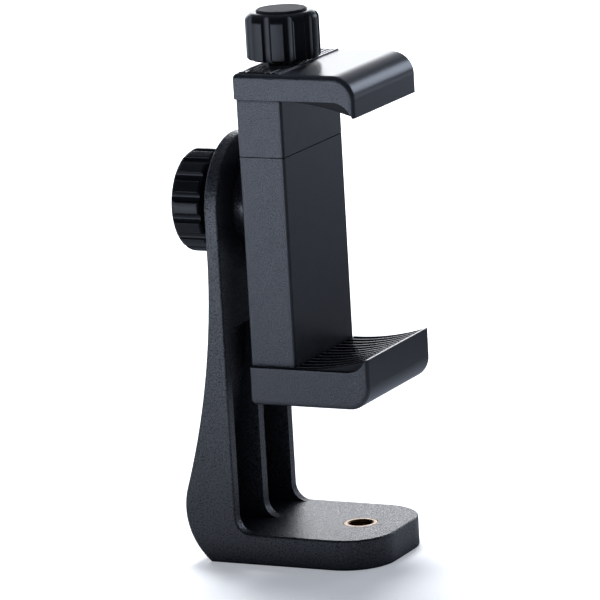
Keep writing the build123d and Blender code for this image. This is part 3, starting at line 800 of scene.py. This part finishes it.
# %% Cut a shape out of a piece
def cut_away(piece, points, faces):
    """Cuts a closed shape, given in millimetres, out of a piece's mesh."""
    mesh = bpy.data.meshes.new("cutter")
    mesh.from_pydata([[c * MM for c in point] for point in points], [], faces)
    work = bmesh.new()
    work.from_mesh(mesh)
    bmesh.ops.recalc_face_normals(work, faces=work.faces)
    work.to_mesh(mesh)
    work.free()
    cutter = bpy.data.objects.new("cutter", mesh)
    scene.collection.objects.link(cutter)
    cut = piece.modifiers.new("cut", "BOOLEAN")
    cut.operation, cut.object, cut.solver = "DIFFERENCE", cutter, "EXACT"
    shaped = piece.evaluated_get(bpy.context.evaluated_depsgraph_get())
    piece.data = bpy.data.meshes.new_from_object(shaped)
    piece.modifiers.clear()
    bpy.data.objects.remove(cutter)
    sharpen(piece.data)
    print(piece.name, "after its cut:", len(piece.data.polygons), "faces")


# %% Strip's cells
strip_low, strip_high = (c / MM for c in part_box("top_grip_strip"))
dot_height, rim_width, rim_rise, rim_edge = 0.36, 0.5, 0.08, 0.06
cells_x, cells_y = 7, 24
dots_front = strip_high.x - rim_width
cell_x = (dots_front - strip_low.x) / cells_x
cell_y = (strip_high.y - strip_low.y) / cells_y
valley = strip_high.z - dot_height
columns = [(strip_low.x + i * cell_x, valley) for i in range(cells_x + 1)]
columns += [(dots_front + rim_rise, strip_high.z), (strip_high.x - rim_edge, strip_high.z),
            (strip_high.x, strip_high.z - rim_edge)]
print("cells", round(cell_x, 2), "x", round(cell_y, 2), "mm")

# %% Strip
# a dome's rings: share of the cell's width, and share of the dome's height
dome = ((0.88, 0), (0.82, 0.5), (0.62, 0.92), (0.3, 1))
around = cells_y + 1
points = [(x, strip_low.y + j * cell_y, z) for x, z in columns for j in range(around)]
faces = []
for i in range(len(columns) - 1):
    for j in range(cells_y):
        cell = outer = [i * around + j, (i + 1) * around + j,
                        (i + 1) * around + j + 1, i * around + j + 1]
        if i < cells_x:
            middle = [sum(points[c][k] for c in cell) / 4 for k in (0, 1)]
            for share, rise in dome:
                inner = [len(points) + k for k in range(4)]
                points += [(middle[0] + (points[c][0] - middle[0]) * share,
                            middle[1] + (points[c][1] - middle[1]) * share,
                            valley + dot_height * rise) for c in cell]
                faces += [(outer[k], outer[(k + 1) % 4], inner[(k + 1) % 4], inner[k])
                          for k in range(4)]
                outer = inner
        faces.append(outer)

strip = as_piece("dotted_grip_strip", points, faces, dotted_rubber, "upper_jaw",
                 ["top_grip_strip"], skirt=strip_low.z)

# %% The strip's hole
hole_radius, hole_sides, cut_past = 3.7, 48, 1
hole = [round_ring(lambda s: hole_radius, z, hole_sides, screw_x)
        for z in (strip_low.z - cut_past, strip_high.z + cut_past)]
cut_away(strip, [p for ring in hole for p in ring], ring_faces(2, hole_sides))

# %% [markdown]
# ## The back cover's screws
# Four small self-tapping screws hold the cover on the clamp's back. Their heads lie flush in
# counterbores and have a cross recess, which narrows towards its bottom as the driver's tip does.
# Each screw is a profile turned round its axis, at its own corner of the cover, and the four
# recesses are cut together.

# %% Cover screw's shape
head_radius, around = 1.5, 32
# radius and depth below the cover's back, from the tip to the head's rounded rim
profile = [(0.15, 6.0), (0.7, 5.2), (0.85, 4.9), (0.85, 0.9),
           (head_radius, 0.9), (head_radius, 0.22), (1.42, 0.08), (1.28, 0)]
wing, slot_half = 0.95, 0.22
recess = ((-0.3, 1.1), (0.55, 0.6))   # depth, and share of the cross's size there


def quarter_turns(arm):
    """An arm's (y, z) points, and the same three more times, each a quarter turn on."""
    return [(a * cos(q) - b * sin(q), a * sin(q) + b * cos(q))
            for q in (0, pi / 2, pi, 3 * pi / 2) for a, b in arm]


cross = quarter_turns([(wing, slot_half), (slot_half, slot_half), (slot_half, wing)])
print("the cross recess has", len(cross), "corners")

# %% Cover screws
screws_low, screws_high = (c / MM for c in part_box("back_cover_screws"))
places = [(y, z) for y in (screws_low.y + head_radius, screws_high.y - head_radius)
          for z in (screws_low.z + head_radius, screws_high.z - head_radius)]
circle = [(cos(2 * pi * k / around), sin(2 * pi * k / around)) for k in range(around)]
points, faces, cuts, cut_faces = [], [], [], []
for y, z in places:
    faces += ring_faces(len(profile), around, start=len(points))
    points += [(screws_low.x + depth, y + radius * a, z + radius * b)
               for radius, depth in profile for a, b in circle]
    cut_faces += ring_faces(len(recess), len(cross), start=len(cuts))
    cuts += [(screws_low.x + depth, y + a * share, z + b * share)
             for depth, share in recess for a, b in cross]
screws = as_piece("cover_screws_cross_recess", points, faces, zinc, "clamp",
                  ["back_cover_screws"])
cut_away(screws, cuts, cut_faces)

# %% [markdown]
# The dressed model must stay inside the CAD model's box.
